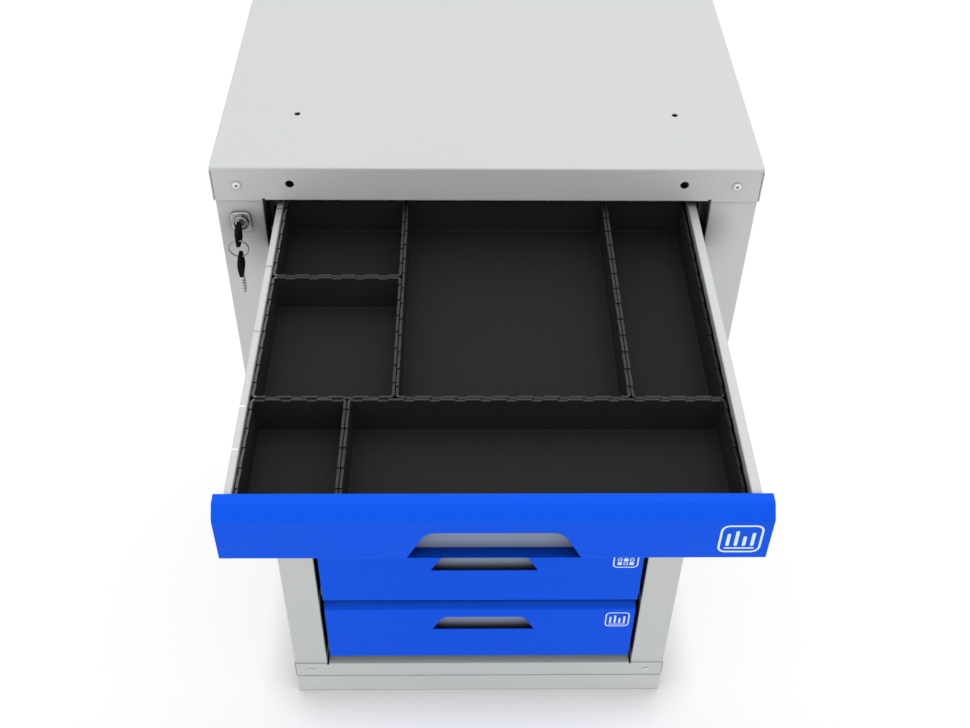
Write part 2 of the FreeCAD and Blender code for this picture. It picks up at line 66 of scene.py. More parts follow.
def round_off(bm, edges, radius, segments=4):
    bmesh.ops.bevel(bm, geom=edges, offset=radius / 1000, offset_type="OFFSET", affect="EDGES",
                    segments=segments, profile=0.5, material=-1)


def folds(bm, low, high):
    # The edges where the sheet turns by an angle between these two, in degrees
    inner = [e for e in bm.edges if len(e.link_faces) == 2]
    return [e for e in inner if math.radians(low) < e.calc_face_angle() < math.radians(high)]


def split_at(bm, axis, value):
    normal = Vector([float(axis == n) for n in "xyz"])
    point = at(value, value, value)
    bmesh.ops.bisect_plane(bm, geom=bm.verts[:] + bm.edges[:] + bm.faces[:], dist=1e-7,
                           plane_co=point, plane_no=normal)


def face_outward(bm):
    # A bent sheet has no inside to tell its front by, so its faces are turned away from its middle
    middle = sum((v.co for v in bm.verts), Vector()) / len(bm.verts)
    lean = sum(f.calc_area() * (f.calc_center_median() - middle).dot(f.normal) for f in bm.faces)
    if lean < 0:
        bmesh.ops.reverse_faces(bm, faces=bm.faces[:])


def moved_verts(grown):
    # The new corners that an extrusion gives, to be drawn out
    return [g for g in grown["geom"] if isinstance(g, bmesh.types.BMVert)]


def folded_cap(shut_z, open_z, hem):
    # The flat blank is notched at its corners and beside the hem, then folded and given its thickness
    up = 1 if open_z > shut_z else -1
    seam_x, seam_stop = 248.3, 3
    hem_x, relief_x, relief_deep = 203, 205.6, 2.4
    bm = bmesh.new()
    block(bm, -WIDE / 2, WIDE / 2, 0, DEEP, min(shut_z, open_z), max(shut_z, open_z))
    for x in (-seam_x, -relief_x, -hem_x, hem_x, relief_x, seam_x):
        split_at(bm, "x", x)
    for z in (shut_z + seam_stop * up, open_z - relief_deep * up):
        split_at(bm, "z", z)
    waste = []
    for face in bm.faces:
        centre = face.calc_center_median() * 1000
        from_open = (open_z - centre.z) * up
        at_front = abs(centre.y + DEEP / 2) < NEAR
        at_end = abs(abs(centre.y) - DEEP / 2) < NEAR
        seam = at_end and abs(centre.x) > seam_x and from_open < abs(open_z - shut_z) - seam_stop
        relief = at_front and hem_x < abs(centre.x) < relief_x and from_open < relief_deep
        if from_open < NEAR or seam or relief:
            waste.append(face)
    bmesh.ops.delete(bm, geom=waste, context="FACES")

    def on_lip(place):
        return (abs(place.y + DEEP / 2) < NEAR and abs(place.z - open_z) < NEAR
                and abs(place.x) < hem_x + NEAR)

    lip = [e for e in bm.edges if all(on_lip(v.co * 1000) for v in e.verts)]
    turned_in = bmesh.ops.extrude_edge_only(bm, edges=lip)
    bmesh.ops.translate(bm, vec=(0, hem / 1000, 0), verts=moved_verts(turned_in))
    bmesh.ops.recalc_face_normals(bm, faces=bm.faces[:])
    face_outward(bm)
    round_off(bm, folds(bm, 60, 120), BEND)
    bmesh.ops.solidify(bm, geom=bm.faces[:], thickness=SHEET / 1000)
    return bm


def rod(bm, radius, start, along, steps=32):
    # A closed round bar, used as a drill or punch. Its start and run are vectors in metres.
    ends = bmesh.ops.create_cone(bm, cap_ends=True, segments=steps, radius1=radius / 1000,
                                 radius2=radius / 1000, depth=along.length)["verts"]
    turn = Vector((0, 0, 1)).rotation_difference(along).to_matrix()
    bmesh.ops.rotate(bm, matrix=turn, verts=ends)
    bmesh.ops.translate(bm, vec=start + along / 2, verts=ends)
    return ends


def as_object(name, bm):
    mesh = bpy.data.meshes.new(name)
    bm.to_mesh(mesh)
    bm.free()
    piece = bpy.data.objects.new(name, mesh)
    bpy.context.scene.collection.objects.link(piece)
    return piece


def apply_modifiers(piece):
    bpy.context.view_layer.update()
    solved = piece.evaluated_get(bpy.context.evaluated_depsgraph_get())
    result = bpy.data.meshes.new_from_object(solved)
    piece.modifiers.clear()
    piece.data = result


def punch(piece, tools):
    punches = as_object("punches", tools)
    cut = piece.modifiers.new("cut", "BOOLEAN")
    cut.operation = "DIFFERENCE"
    cut.solver = "EXACT"
    cut.object = punches
    apply_modifiers(piece)
    bpy.data.objects.remove(punches)


def fit(piece, body, nodes, material, ease=0.0):
    # Softens the last edges where asked, smooths the bends and hangs the piece on its CAD body
    if ease:
        soft = piece.modifiers.new("soft", "BEVEL")
        soft.width = ease / 1000
        soft.segments = 2
        soft.limit_method = "ANGLE"
        soft.angle_limit = math.radians(40)
    even = piece.modifiers.new("even", "WEIGHTED_NORMAL")
    even.keep_sharp = True
    piece.data.shade_smooth()
    piece.data.set_sharp_from_angle(angle=math.radians(42))
    apply_modifiers(piece)
    piece.data.materials.clear()
    piece.data.materials.append(material)
    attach(piece, body)
    if nodes:
        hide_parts(*nodes)
    return piece


def group(name, inputs, outputs):
    tree = bpy.data.node_groups.new(name, "ShaderNodeTree")
    for label, kind, value in inputs:
        socket = tree.interface.new_socket(label, in_out="INPUT", socket_type=kind)
        socket.default_value = value
    for label, kind in outputs:
        tree.interface.new_socket(label, in_out="OUTPUT", socket_type=kind)
    return tree, tree.nodes.new("NodeGroupInput").outputs, tree.nodes.new("NodeGroupOutput").inputs


def node(tree, kind, effect=None, **values):
    # A new node with its own values. Where it places a node group, effect is that group.
    made = tree.nodes.new(kind)
    if effect:
        made.node_tree = effect
    for label, value in values.items():
        made.inputs[label].default_value = value
    return made


def maths(tree, operation, first, second):
    # A Math node between two numbers or sockets
    made = tree.nodes.new("ShaderNodeMath")
    made.operation = operation
    for socket, value in zip(made.inputs, (first, second)):
        if isinstance(value, float):
            socket.default_value = value
        else:
            tree.links.new(value, socket)
    return made.outputs[0]


# Orange peel: the fine waves that powder coating and moulding leave, as a normal
peel, peel_in, peel_out = group("surface_peel", [
    ("Size", "NodeSocketFloat", 0.002), ("Depth", "NodeSocketFloat", 0.00002),
    ("Strength", "NodeSocketFloat", 0.4),
], [("Normal", "NodeSocketVector")])
peel_place = peel.nodes.new("ShaderNodeTexCoord")
peel_waves = node(peel, "ShaderNodeTexNoise", Detail=2.0, Roughness=0.45)
peel_bump = node(peel, "ShaderNodeBump")
peel.links.new(peel_place.outputs["Object"], peel_waves.inputs["Vector"])
peel.links.new(maths(peel, "DIVIDE", 1.0, peel_in["Size"]), peel_waves.inputs["Scale"])
peel.links.new(peel_waves.outputs["Fac"], peel_bump.inputs["Height"])
peel.links.new(peel_in["Depth"], peel_bump.inputs["Distance"])
peel.links.new(peel_in["Strength"], peel_bump.inputs["Strength"])
peel.links.new(peel_bump.outputs["Normal"], peel_out["Normal"])

# Tone drift: slow cloudy change of a finish's colour and gloss over the surface
drift, drift_in, drift_out = group("tone_drift", [
    ("Color", "NodeSocketColor", (0.8, 0.8, 0.8, 1)), ("Size", "NodeSocketFloat", 0.2),
    ("Amount", "NodeSocketFloat", 0.05), ("Roughness", "NodeSocketFloat", 0.4),
], [("Color", "NodeSocketColor"), ("Roughness", "NodeSocketFloat")])
drift_place = drift.nodes.new("ShaderNodeTexCoord")
drift_cloud = node(drift, "ShaderNodeTexNoise", Detail=3.0, Roughness=0.55)
drift.links.new(drift_place.outputs["Object"], drift_cloud.inputs["Vector"])
drift.links.new(maths(drift, "DIVIDE", 1.0, drift_in["Size"]), drift_cloud.inputs["Scale"])
drift_change = maths(drift, "MULTIPLY", maths(drift, "SUBTRACT", drift_cloud.outputs["Fac"], 0.5),
                     drift_in["Amount"])
drift_tone = node(drift, "ShaderNodeHueSaturation")
drift.links.new(maths(drift, "ADD", drift_change, 1.0), drift_tone.inputs["Value"])
drift.links.new(drift_in["Color"], drift_tone.inputs["Color"])
drift.links.new(drift_tone.outputs["Color"], drift_out["Color"])
drift.links.new(maths(drift, "ADD", drift_change, drift_in["Roughness"]), drift_out["Roughness"])

# Corner shade: narrow gaps and corners take less light, as a share of the colour
shade, shade_in, shade_out = group("corner_shade", [
    ("Color", "NodeSocketColor", (0.8, 0.8, 0.8, 1)), ("Reach", "NodeSocketFloat", 0.05),
    ("Power", "NodeSocketFloat", 1.0),
], [("Color", "NodeSocketColor")])
shade_open = shade.nodes.new("ShaderNodeAmbientOcclusion")
shade_open.samples = 8
shade_scale = shade.nodes.new("ShaderNodeVectorMath")
shade_scale.operation = "SCALE"
shade.links.new(shade_in["Reach"], shade_open.inputs["Distance"])
shade_share = maths(shade, "POWER", shade_open.outputs["AO"], shade_in["Power"])
shade.links.new(shade_in["Color"], shade_scale.inputs[0])
shade.links.new(shade_share, shade_scale.inputs["Scale"])
shade.links.new(shade_scale.outputs[0], shade_out["Color"])


def tone(red, green, blue):
    # A colour as it is read off a colour chart, made linear for the shader
    def linear(level):
        share = level / 255
        return share / 12.92 if share <= 0.04045 else ((share + 0.055) / 1.055) ** 2.4

    return (linear(red), linear(green), linear(blue), 1)


def finish(name, colour, roughness, drift_size, drift_amount, peel_size=0.0, peel_depth=0.0,
           peel_strength=0.0, metal=0.0, specular=0.5, reach=0.05, power=1.0):
    # Sizes here are in metres. A peel_size of 0 leaves out the orange peel, a power of 0 the corner shade.
    material = bpy.data.materials.new(name)
    material.use_nodes = True
    tree = material.node_tree
    shader = tree.nodes["Principled BSDF"]
    shader.inputs["Metallic"].default_value = metal
    shader.inputs["Specular IOR Level"].default_value = specular
    clouds = node(tree, "ShaderNodeGroup", drift, Color=colour, Size=drift_size, Amount=drift_amount,
                  Roughness=roughness)
    coloured = clouds
    if power:
        coloured = node(tree, "ShaderNodeGroup", shade, Reach=reach, Power=power)
        tree.links.new(clouds.outputs["Color"], coloured.inputs["Color"])
    tree.links.new(coloured.outputs["Color"], shader.inputs["Base Color"])
    tree.links.new(clouds.outputs["Roughness"], shader.inputs["Roughness"])
    if peel_size:
        skin = node(tree, "ShaderNodeGroup", peel, Size=peel_size, Depth=peel_depth, Strength=peel_strength)
        tree.links.new(skin.outputs["Normal"], shader.inputs["Normal"])
    return material


def powder_coat(name, colour, roughness=0.46, drift_size=0.35, drift_amount=0.03, peel_strength=0.35,
                specular=0.3, reach=0.05, power=1.0):
    # Baked powder, with an orange peel of waves 1.6 mm wide and 0.02 mm deep
    return finish(name, colour, roughness, drift_size, drift_amount, 0.0016, 0.00002, peel_strength,
                  specular=specular, reach=reach, power=power)


grey_coat = powder_coat("grey_powder_coat", tone(203, 206, 203), power=0.5)

cover_flange, cover_hem = 36, 16
cover = as_object("cover_sheet", folded_cap(HIGH, HIGH - cover_flange, cover_hem))
drills = bmesh.new()
for hole_x in (-179, 179):
    for hole_y in (89, DEEP - 89):
        rod(drills, 3, at(hole_x, hole_y, HIGH - 11), Vector((0, 0, 0.02)))
    rod(drills, 4, at(hole_x, -6, HIGH - 17.8), Vector((0, 0.012, 0)))
punch(cover, drills)
fit(cover, "cabinet", ["top_cover"], grey_coat)


# Base tray. A pan of the same sheet that takes the feet of the side panels. Between the posts its front edge
# turns in as a sill, with small relief notches where the fold ends.
tray_floor, tray_top, sill_reach = 38, 67, 21
tray = as_object("tray_sheet", folded_cap(tray_floor, tray_top, sill_reach))
foot_coat = powder_coat("grey_foot_coat", tone(205, 208, 205), power=0.15)
fit(tray, "cabinet", ["base_tray"], foot_coat)


# Plinth. Four walls of 1.5 mm sheet with returns at the top and bottom, on which the cabinet stands. Its top
# edge is a hair lower than the tray, which shows as a dark line.
plinth_top, plinth_return, plinth_bend, plinth_thick = tray_floor - 0.9, 20, 2.4, 1.5
plinth_bm = bmesh.new()
block(plinth_bm, -WIDE / 2, WIDE / 2, 0, DEEP, 0, plinth_top)
level_faces = [f for f in plinth_bm.faces if abs(f.normal.z) > 0.9]
bmesh.ops.inset_individual(plinth_bm, faces=level_faces, thickness=plinth_return / 1000, use_even_offset=True)
bmesh.ops.delete(plinth_bm, geom=level_faces, context="FACES")
round_off(plinth_bm, folds(plinth_bm, 60, 120), plinth_bend)
bmesh.ops.solidify(plinth_bm, geom=plinth_bm.faces[:], thickness=plinth_thick / 1000)
plinth = as_object("plinth_sheet", plinth_bm)
plinth_coat = powder_coat("grey_plinth_coat", tone(207, 210, 207), reach=0.004, power=1.2)
fit(plinth, "cabinet", ["plinth"], plinth_coat)


# Side panels. Each is one sheet: the side, the front post with its return, and a fold at the rear for the
# back panel. The left post is punched for the lock, and both have a clipped corner under the cover.
POST_X = 205.3
LOCK_X, LOCK_Z = -227.5, 811.5


def chain(bm, points):
    # Corners joined one after the other
    row = [bm.verts.new(p) for p in points]
    return row + [bm.edges.new(pair) for pair in zip(row, row[1:])]


def folded(points, reach, sheet, bend, slope_bend=0.0):
    # A sheet bent along its profile's points and drawn out by reach. A slope's bends may be tighter.
    bm = bmesh.new()
    chain(bm, points)
    drawn = bmesh.ops.extrude_edge_only(bm, edges=bm.edges[:])
    bmesh.ops.translate(bm, vec=reach, verts=moved_verts(drawn))
    bmesh.ops.recalc_face_normals(bm, faces=bm.faces[:])
    face_outward(bm)
    if slope_bend:
        round_off(bm, folds(bm, 30, 60), slope_bend)
    round_off(bm, folds(bm, 60, 120), bend)
    bmesh.ops.solidify(bm, geom=bm.faces[:], thickness=sheet / 1000)
    return bm


def mirror_across(bm):
    bmesh.ops.scale(bm, vec=(-1, 1, 1), verts=bm.verts[:])
    bmesh.ops.recalc_face_normals(bm, faces=bm.faces[:])
    return bm


def side_sheet():
    # The left panel, in plan from its rear fold along the side and round the post
    foot, head = tray_floor + SHEET, HIGH - SHEET - 0.1
    side_x, front_y, rear_y = SHEET - WIDE / 2, SHEET, DEEP - SHEET
    plan = [(side_x + 20, rear_y), (side_x, rear_y), (side_x, front_y), (-POST_X, front_y), (-POST_X, 24)]
    return folded([at(x, y, foot) for x, y in plan], Vector((0, 0, head - foot)) / 1000, SHEET, BEND)


def loose_block(bm, x0, x1, y0, y1, z0, z1):
    # A block about Blender's own zero, to be turned and moved to its place
    corners = block(bm, x0, x1, y0, y1, z0, z1)
    bmesh.ops.translate(bm, vec=-at(0, 0, 0), verts=corners)
    return corners


def clip_corner(tools, side):
    # The diagonal corner that the notching tool leaves at the top of the post
    clip = loose_block(tools, -2, 2, -2, 4, -2, 2)
    bmesh.ops.rotate(tools, matrix=Matrix.Rotation(math.radians(45), 3, "Y"), verts=clip)
    bmesh.ops.translate(tools, vec=at(side * POST_X, 0, HIGH - 35), verts=clip)


side_coat = powder_coat("grey_side_coat", tone(203, 206, 203), reach=0.04, power=1.4)
for name, side in (("left", -1), ("right", 1)):
    sheet = side_sheet() if side < 0 else mirror_across(side_sheet())
    panel = as_object("side_sheet_" + name, sheet)
    punches = bmesh.new()
    clip_corner(punches, side)
    if side < 0:
        rod(punches, 8.3, at(LOCK_X, -1, LOCK_Z), Vector((0, 0.005, 0)))
    punch(panel, punches)
    fit(panel, "cabinet", ["side_panel_" + name], side_coat)


# Back panel and rail uprights. A flat 1 mm sheet closes the back, and two channels on each side carry the
# slides. Both keep the shape of the frame and take the same grey coat.
def dress(names, material):
    for name in names:
        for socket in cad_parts[name].material_slots:
            socket.material = material


dress(["back_panel"], grey_coat)
dress(["rail_uprights_left", "rail_uprights_right"], side_coat)


# Blind rivets. Aluminium, domed, with the hole of the pulled mandrel in the middle, painted with the body.
# Two at the front and two at the back hold the cover, and as many hold the base tray.
def rivet(bm, x, y, z, facing):
    # Turned about its axis at the origin, from pairs of radius and depth, then set in its place
    profile = [(0, -0.2), (0.95, -0.2), (1.05, -1.6), (1.5, -1.8), (2.4, -1.7), (3.3, -1.35), (3.9, -0.95),
               (4.05, -0.7), (3.7, -0.3), (3.7, 0.1), (0, 0.1)]
    line = chain(bm, [(r / 1000, depth / 1000, 0) for r, depth in profile])
    bmesh.ops.spin(bm, geom=line, axis=(0, 1, 0), cent=(0, 0, 0), steps=28, angle=2 * math.pi, use_merge=True)
    bmesh.ops.remove_doubles(bm, verts=[v for v in bm.verts if v.co.length < 0.02], dist=1e-6)
    shell = [v for v in bm.verts if v.co.length < 0.02]
    bmesh.ops.recalc_face_normals(bm, faces=list({f for v in shell for f in v.link_faces}))
    if facing > 0:
        bmesh.ops.rotate(bm, matrix=Matrix.Rotation(math.pi, 3, "Z"), verts=shell)
    bmesh.ops.translate(bm, vec=at(x, y, z), verts=shell)


# The domes are a lighter grey than the body coat: a painted highlight
rivet_highlight_coat = finish("rivet_coat_painted_highlight", tone(232, 235, 232), 0.25, 0.01, 0.06, 0.0012, 0.00002, 0.3,
                    specular=0.6, reach=0.006, power=2.0)
for name, rivet_z in (("cover_rivets", HIGH - 19), ("tray_rivets", tray_floor + 14)):
    heads = bmesh.new()
    for rivet_x in (-227, 227):
        rivet(heads, rivet_x, 0, rivet_z, -1)
        rivet(heads, rivet_x, DEEP, rivet_z, 1)
    fit(as_object(name + "_domes", heads), "cabinet", [name], rivet_highlight_coat)


# Telescopic slides. Nested channels of zinc-plated steel: one on the uprights, one between and one on each
# drawer wall. Rolling leaves fine lines along them.
lines, lines_in, lines_out = group("drawn_lines", [
    ("Across", "NodeSocketFloat", 900.0), ("Along", "NodeSocketFloat", 8.0),
    ("Strength", "NodeSocketFloat", 0.3),
], [("Normal", "NodeSocketVector")])
lines_place = lines.nodes.new("ShaderNodeTexCoord")
lines_scale = lines.nodes.new("ShaderNodeCombineXYZ")
lines_stretch = lines.nodes.new("ShaderNodeVectorMath")
lines_stretch.operation = "MULTIPLY"
lines_noise = node(lines, "ShaderNodeTexNoise", Scale=1.0, Detail=3.0)
lines_bump = node(lines, "ShaderNodeBump", Distance=0.00002)
lines.links.new(lines_in["Across"], lines_scale.inputs["X"])
lines.links.new(lines_in["Along"], lines_scale.inputs["Y"])
lines.links.new(lines_in["Across"], lines_scale.inputs["Z"])
lines.links.new(lines_place.outputs["Object"], lines_stretch.inputs[0])
lines.links.new(lines_scale.outputs[0], lines_stretch.inputs[1])
lines.links.new(lines_stretch.outputs[0], lines_noise.inputs["Vector"])
lines.links.new(lines_noise.outputs["Fac"], lines_bump.inputs["Height"])
lines.links.new(lines_in["Strength"], lines_bump.inputs["Strength"])
lines.links.new(lines_bump.outputs["Normal"], lines_out["Normal"])


def metal(name, colour, roughness, across, along, strength):
    # Across and along are how often the drawn lines change in a metre
    material = finish(name, colour, roughness, 0.05, 0.12, metal=1.0)
    tree = material.node_tree
    drawn = node(tree, "ShaderNodeGroup", lines, Across=across, Along=along, Strength=strength)
    tree.links.new(drawn.outputs["Normal"], tree.nodes["Principled BSDF"].inputs["Normal"])
    return material


rolled_zinc = metal("rolled_zinc", (0.66, 0.67, 0.69, 1), 0.34, 1500.0, 6.0, 0.25)
dress(["cabinet_rails_left", "cabinet_rails_right"], rolled_zinc)
for number in range(1, 8):
    dress(["drawer_%d_rails" % number, "drawer_%d_mid_rails" % number], rolled_zinc)


# Drawer fronts. 1 mm sheet in blue powder coat, with a sloped top edge, a flange behind it, a return below, a
# plate welded in each end and a finger cut-out. The top front and the one below it cover one module.
blue_coat = powder_coat("blue_powder_coat", tone(5, 88, 237), roughness=0.42, drift_size=0.3,
                        drift_amount=0.04, peel_strength=0.3, specular=0.07)
DRAWER_SHEET = 1.0
FRONT_X, FRONT_SLOPE, FRONT_RETURN, FRONT_DEEP = 200, 8.9, 10, 17.6


def front_sheet(y, z, top):
    profile = [(y + FRONT_RETURN, z), (y, z), (y, top - FRONT_SLOPE), (y + FRONT_SLOPE, top),
               (y + FRONT_DEEP, top)]
    across = Vector((2 * FRONT_X, 0, 0)) / 1000
    return folded([at(-FRONT_X, d, h) for d, h in profile], across, DRAWER_SHEET, 2.0, 1.3)


def end_plates(bm, y, z, top):
    # The plates stay a little inside the sheet's bends
    inset, under = 0.8, 1.5
    end = [(y + inset, z + inset), (y + inset, top - FRONT_SLOPE - 0.6), (y + FRONT_SLOPE - 0.3, top - under),
           (y + FRONT_RETURN, top - under), (y + FRONT_RETURN, z + inset)]
    for x, step in ((0.3 - FRONT_X, DRAWER_SHEET), (FRONT_X - 0.3, -DRAWER_SHEET)):
        cap = bm.faces.new([bm.verts.new(at(x, d, h)) for d, h in end])
        moved = moved_verts(bmesh.ops.extrude_face_region(bm, geom=[cap]))
        bmesh.ops.translate(bm, vec=(step / 1000, 0, 0), verts=moved)
        bmesh.ops.recalc_face_normals(bm, faces=list({f for v in moved for f in v.link_faces} | {cap}))


def finger_punch(y, base, half, centre, height):
    # A trapezium with rounded upper corners, wider at the bottom
    slant, corner, reach = 0.51, 6.5, 5.5
    narrow = half - slant * height
    bm = bmesh.new()
    outline = [(-half, base), (half, base), (narrow, base + height), (-narrow, base + height)]
    shape = bm.faces.new([bm.verts.new(at(centre + x, y - 3, z)) for x, z in outline])
    upper = [v for v in shape.verts if v.co.z * 1000 > base + height / 2]
    bmesh.ops.bevel(bm, geom=upper, offset=corner / 1000, offset_type="OFFSET", affect="VERTICES", segments=8,
                    profile=0.5, material=-1)
    grown = bmesh.ops.extrude_face_region(bm, geom=bm.faces[:])
    bmesh.ops.translate(bm, vec=(0, reach / 1000, 0), verts=moved_verts(grown))
    bmesh.ops.recalc_face_normals(bm, faces=bm.faces[:])
    return bm


def span(name):
    # A CAD node's box in this script's millimetres: its lowest and highest x, y and z
    low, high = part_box(name)
    back = DEEP / 2
    return [(low.x * 1000, high.x * 1000), (low.y * 1000 + back, high.y * 1000 + back),
            (low.z * 1000, high.z * 1000)]


# For each kind of cut-out: base above the front's lower edge, half width there, middle and height
cut_outs = {"top": (1.0, 64.1, 0.5, 29.2), "small": (1.0, 63.2, 0.5, 27.5), "large": (63.3, 66.4, 4.1, 27.5)}
small_height = 60
fronts = []
for number in range(1, 8):
    deep, (low, high) = span("drawer_%d_front" % number)[1:]
    front_y = deep[0]
    small = high - low < small_height
    fronts.append((number, front_y, low, small))
    kind = "top" if number == 1 else "small" if small else "large"
    if kind == "top":
        low, high = low - 1.9, high - 0.7
    front = as_object("front_sheet_%d" % number, front_sheet(front_y, low, high))
    base, half, middle, height = cut_outs[kind]
    punch(front, finger_punch(front_y, low + base, half, middle, height))
    whole = bmesh.new()
    whole.from_mesh(front.data)
    end_plates(whole, front_y, low, high)
    whole.to_mesh(front.data)
    whole.free()
    fit(front, "drawer_%d" % number, ["drawer_%d_front" % number], blue_coat)


# Contents signs. A white printed frame with rounded corners at the right of each front. What it holds is kept
# general: bars, rings and squares, in a layout of its own.
sign_white = finish("sign_white", tone(224, 244, 255), 0.45, 0.02, 0.03, 0.0012, 0.00001, 0.2)


def raise_print(bm, ink=0.16):
    grown = bmesh.ops.extrude_face_region(bm, geom=bm.faces[:])
    bmesh.ops.translate(bm, vec=(0, -ink / 1000, 0), verts=moved_verts(grown))
    bmesh.ops.recalc_face_normals(bm, faces=bm.faces[:])


def sign_bar(bm, x, y, z, width, height, corner=0.8, hollow=0.0):
    # Drawn round zero, where only its own corners lie, and then set in its place
    sides = ((-1, -1), (1, -1), (1, 1), (-1, 1))
    made = [bm.verts.new((a * width / 2000, 0, b * height / 2000)) for a, b in sides]
    bm.faces.new(made)
    bmesh.ops.bevel(bm, geom=made, offset=corner / 1000, offset_type="OFFSET", affect="VERTICES", segments=5,
                    profile=0.5, material=-1)
    verts = {v for v in bm.verts if abs(v.co.y) < 1e-9}
    faces = list({f for v in verts for f in v.link_faces})
    if hollow:
        inner = bmesh.ops.inset_region(bm, faces=faces, thickness=hollow / 1000, use_even_offset=True,
                                       use_boundary=True)
        bmesh.ops.delete(bm, geom=faces, context="FACES_ONLY")
        faces = inner["faces"]
    bmesh.ops.translate(bm, vec=at(x, y, z), verts=list({v for f in faces for v in f.verts}))


def motif(bm, style, x, y, z):
    if style == 0:
        for step, height in enumerate((14, 17, 11, 15)):
            sign_bar(bm, x - 9 + 6 * step, y, z - 8 + height / 2, 2.6, height, corner=1.2)
        sign_bar(bm, x, y, z - 10.5, 22, 1.6, corner=0.6)
    elif style == 1:
        sign_bar(bm, x - 5.5, y, z + 2.5, 12, 12, corner=5.9, hollow=2.2)
        sign_bar(bm, x + 7, y, z - 3, 8, 8, corner=3.9, hollow=1.6)
        sign_bar(bm, x - 1, y, z - 10, 18, 1.8, corner=0.8)
    else:
        for column in (-1, 0, 1):
            for line in (-1, 0, 1):
                solid = (column + line) % 2 == 0
                sign_bar(bm, x + 7.4 * column, y, z + 7.4 * line, 5.6, 5.6, corner=1.2,
                         hollow=0 if solid else 1.1)


for number, front_y, low, small in fronts:
    x, z = (178.3, low + 21.2) if small else (178.2, low + 84.2)
    sign = bmesh.new()
    sign_bar(sign, x, front_y, z, 31.4, 31, corner=6.3, hollow=1.7)
    motif(sign, (number - 1) % 3, x, front_y, z)
    raise_print(sign)
    fit(as_object("contents_sign_%d" % number, sign), "drawer_%d" % number, [], sign_white)


# Drawer boxes. 1 mm sheet in the body's grey: a floor, a rear wall, and side walls that fold over at the top
# into a rim, narrower on the left. The front wall is a darker bluish grey: painted shade with a painted blue
# cast. The top drawer's left rim has fine joints across it.
WALL_X, LEFT_RIM, RIGHT_RIM = 193.2, 5.8, 7.9
box_coat = powder_coat("grey_box_coat", tone(205, 208, 205), roughness=0.5, drift_size=0.3, peel_strength=0.3,
                       reach=0.1, power=1.25)
# The front walls take a darker, bluish copy of the box grey: painted shade, with a painted blue cast from the
# fronts
painted_shade_coat = powder_coat("grey_painted_shade_coat", tone(152, 163, 188), roughness=0.5, drift_size=0.3,
                          peel_strength=0.3, reach=0.1, power=0.55)
# Near-white strips for the rim joints: a painted highlight
joint_painted_highlight = finish("joint_painted_highlight", tone(252, 253, 252), 0.5, 0.3, 0.0, 0.001, 0.00001, 0.1, power=0)


def edges_of(verts, keep):
    found = {e for v in verts for e in v.link_edges}
    return [e for e in found if keep(*(v.co for v in e.verts))]


def add_bm(target, part):
    mesh = bpy.data.meshes.new("part")
    part.to_mesh(mesh)
    part.free()
    target.from_mesh(mesh)
    bpy.data.meshes.remove(mesh)


def side_wall(y0, y1, floor, top, rim, drop):
    # From the floor up, over the rim and down again behind it
    inner = rim - WALL_X
    profile = ((-WALL_X, floor), (-WALL_X, top), (inner, top), (inner, top - drop))
    along = Vector((0, y1 - y0, 0)) / 1000
    return folded([at(x, y0, z) for x, z in profile], along, DRAWER_SHEET, 1.3)


def joint_saws(top):
    # Each joint's place, half its width and its depth. Those nearest the front have a white strip in them, a
    # painted highlight along the joint.
    saws, strips = bmesh.new(), bmesh.new()
    rim_x = LEFT_RIM - WALL_X
    for y, half, depth in ((-3.9, 0.8, 1.4), (-87.2, 0.45, 1.4), (-171.1, 0.6, 0.35), (-256.0, 0.7, 0.35),
                           (-300.4, 0.7, 0.35)):
        block(saws, -WALL_X - 0.8, rim_x + 2, y - half, y + half, top - depth, top + 1)
        if y < -200:
            block(strips, -WALL_X + 0.1, rim_x - 1, y - half, y + half, top - 0.6, top)
    return saws, strips


for number, front_y, low, _ in fronts:
    (y0, y1), (floor, top) = span("drawer_%d_box" % number)[1:]
    inside_x, plate_top = WALL_X - DRAWER_SHEET, top - 1.3
    body, nodes = "drawer_%d" % number, ["drawer_%d_box" % number]
    case = side_wall(y0, y1, floor, top, LEFT_RIM, 5)
    other = side_wall(y0, y1, floor, top, RIGHT_RIM, 30)
    wall_y, wall_foot = y0, low + 1
    if number == 1:
        # Its front wall shows through the cut-out, where it covers the edge of the floor
        wall_y, wall_foot = y0 + 0.1, low - 1.7
        saws, strips = joint_saws(top)
        left_wall = as_object("left_wall", case)
        punch(left_wall, saws)
        case = bmesh.new()
        case.from_mesh(left_wall.data)
        bpy.data.objects.remove(left_wall)
        fit(as_object("joint_highlight_strips", strips), body, nodes, joint_painted_highlight)
    add_bm(case, mirror_across(other))
    block(case, -inside_x - 0.2, inside_x + 0.2, wall_y + 0.2, y1 - 0.3, floor + 0.1, floor + DRAWER_SHEET)
    plate = block(case, -inside_x, inside_x, y1 - DRAWER_SHEET, y1, floor + 0.4, plate_top)
    brim = edges_of(plate, lambda a, b: min(a.z, b.z) * 1000 > top - 2 and abs(a.y - b.y) < 1e-6)
    round_off(case, brim, 0.45, 3)
    catch_y, catch_reach = front_y + 27, 8.5
    block(case, -WALL_X - catch_reach, -WALL_X, catch_y, catch_y + 3, low + 24, low + 30)
    fit(as_object("box_sheets_%d" % number, case), body, nodes, box_coat)
    # The front wall, seen through the finger cut-out, is painted darker and bluer as painted shade
    shaded = bmesh.new()
    block(shaded, -inside_x, inside_x, wall_y, wall_y + DRAWER_SHEET, wall_foot, plate_top)
    fit(as_object("box_front_wall_%d" % number, shaded), body, nodes, painted_shade_coat)


